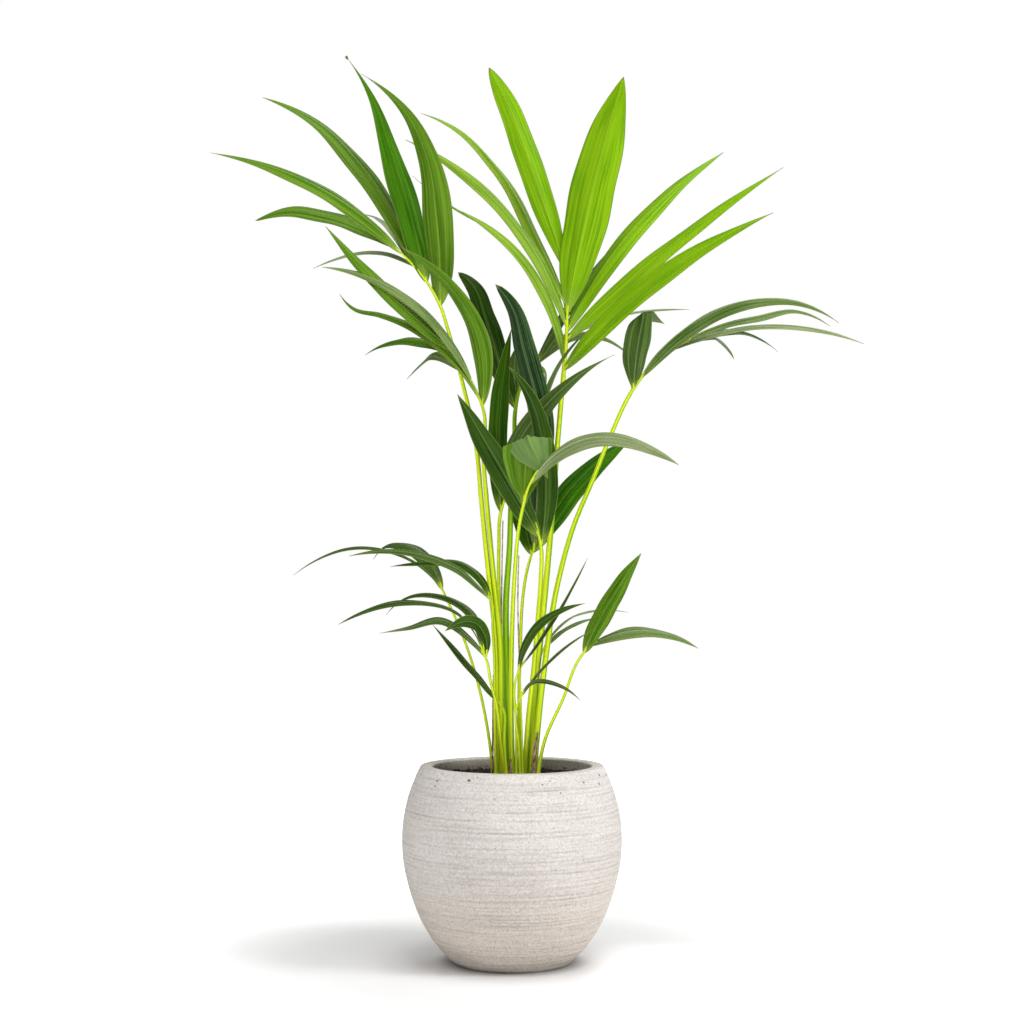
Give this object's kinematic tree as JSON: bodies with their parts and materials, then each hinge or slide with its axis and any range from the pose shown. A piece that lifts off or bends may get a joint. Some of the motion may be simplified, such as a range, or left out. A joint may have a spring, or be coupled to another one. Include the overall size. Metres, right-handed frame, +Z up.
{
  "type": "potted kentia palm",
  "caption": "Young kentia palm with arching feather fronds on slender green stalks, growing in a round grooved pot filled with soil; stands on the floor as indoor greenery",
  "frame": {"origin": "centre of the pot's flat underside, on the floor", "axes": "+Z up from the foot to the crown; +X to the right seen from the front; +Y away from the front"},
  "size_m": [0.776, 0.4, 1.088],
  "materials": {
    "clay": "rough, finely grooved",
    "soil": "loose, matte",
    "stalk": "smooth, satin",
    "stalk_deep": "smooth, satin",
    "leaf_bright": "satin",
    "leaf_mid": "satin",
    "leaf_dark": "satin",
    "leaf_grey": "satin",
    "dry_sheath": "dry, fibrous"
  },
  "bodies": {
    "root": {"pot": "clay", "soil": "soil", "stem_left": "stalk", "stalk_top_left": "stalk", "stalk_upper_left": "stalk", "stalk_top_right": "stalk", "stalk_right": "stalk", "stalk_middle_front": "stalk", "stalk_middle_back": "stalk_deep", "stalk_middle_left": "stalk", "stalk_front": "stalk", "stalk_middle_right": "stalk", "stalk_low_left": "stalk", "stalk_low_left_upper": "stalk", "stalk_low_left_front": "stalk", "stalk_low_left_small": "stalk", "stalk_low_right": "stalk", "stalk_low_right_back": "stalk", "stalk_low_front": "stalk", "stalk_low_front_small": "stalk", "frond_top_left": "leaf_mid", "frond_upper_left": "leaf_mid", "frond_top_right": "leaf_bright", "frond_right": "leaf_grey", "frond_middle_front": "leaf_dark", "frond_middle_back": "leaf_dark", "frond_middle_left": "leaf_dark", "frond_front": "leaf_grey", "frond_middle_right": "leaf_dark", "frond_low_left": "leaf_grey", "frond_low_left_upper": "leaf_grey", "frond_low_left_front": "leaf_grey", "frond_low_left_small": "leaf_dark", "frond_low_right": "leaf_mid", "frond_low_right_back": "leaf_grey", "frond_low_front": "leaf_grey", "frond_low_front_small": "leaf_dark", "dry_sheath_right": "dry_sheath", "dry_sheath_middle": "dry_sheath", "dry_sheath_left": "dry_sheath", "dry_tip_left": "dry_sheath", "dry_tip_front": "dry_sheath"}
  },
  "joints": []
}
